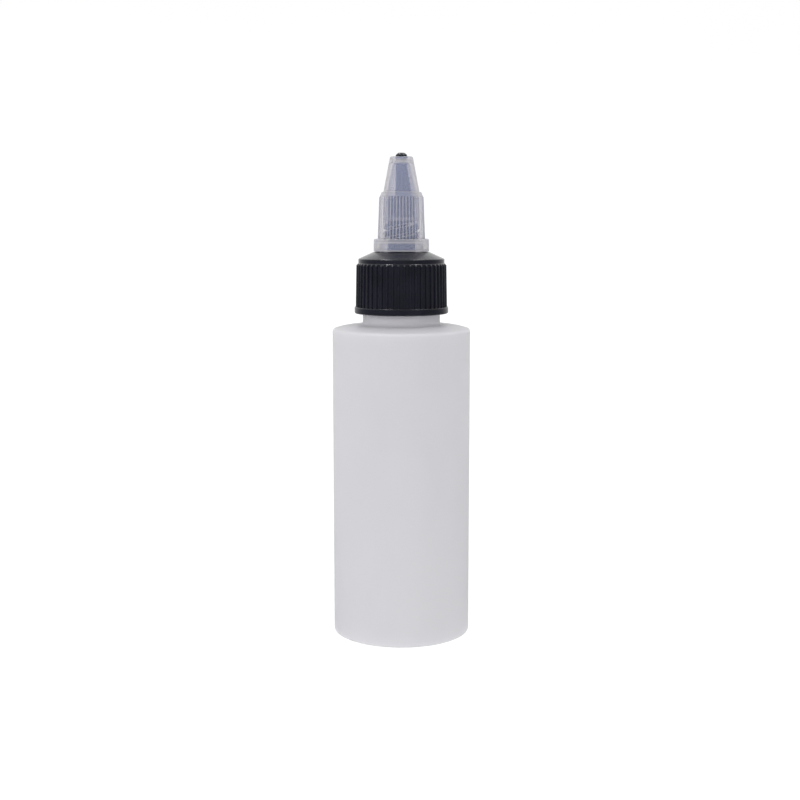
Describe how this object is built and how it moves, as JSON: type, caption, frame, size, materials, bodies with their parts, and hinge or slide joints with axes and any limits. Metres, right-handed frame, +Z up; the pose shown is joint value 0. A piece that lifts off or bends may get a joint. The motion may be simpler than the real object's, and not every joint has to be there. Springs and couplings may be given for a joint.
{
  "type": "twist-top squeeze bottle",
  "caption": "Empty round squeeze bottle in milky plastic with a black ribbed screw cap and a translucent twist spout, closed.",
  "frame": {"origin": "centre of the standing ring, on the surface that the bottle stands on", "axes": "+Z up along the bottle's axis, towards the spout"},
  "size_m": [0.035, 0.035, 0.1227],
  "materials": {
    "bottle_plastic": "natural polyethylene, milky and translucent, satin",
    "liner_foam": "foamed polyethylene, matt",
    "cap_plastic": "black moulded polypropylene, semi-gloss",
    "spout_plastic": "natural polypropylene, translucent, semi-gloss"
  },
  "bodies": {
    "bottle": {"bottle": "bottle_plastic"},
    "liner": {"neck_liner": "liner_foam"},
    "cap": {"cap_base": "cap_plastic"},
    "seal_lip": {"spout_seal_lip": "spout_plastic"},
    "spout": {"spout": "spout_plastic"}
  },
  "joints": [
    {"name": "cap_rise", "type": "slide", "parent": "bottle", "child": "liner", "axis": [0, 0, 1], "range_m": [0, 0.0135]},
    {"name": "cap_twist", "type": "hinge", "parent": "liner", "child": "cap", "pos_m": [0, 0, 0.09], "axis": [0, 0, 1], "range_deg": [0, 1531]},
    {"name": "spout_rise", "type": "slide", "parent": "cap", "child": "seal_lip", "axis": [0, 0, 1], "range_m": [0, 0.00313]},
    {"name": "spout_twist", "type": "hinge", "parent": "seal_lip", "child": "spout", "pos_m": [0, 0, 0.103], "axis": [0, 0, 1], "range_deg": [0, 240]}
  ],
  "couplings": [
    {"joint": "cap_twist", "follows": "cap_rise", "rad_per_m": 1979},
    {"joint": "spout_twist", "follows": "spout_rise", "rad_per_m": 1336.8}
  ]
}
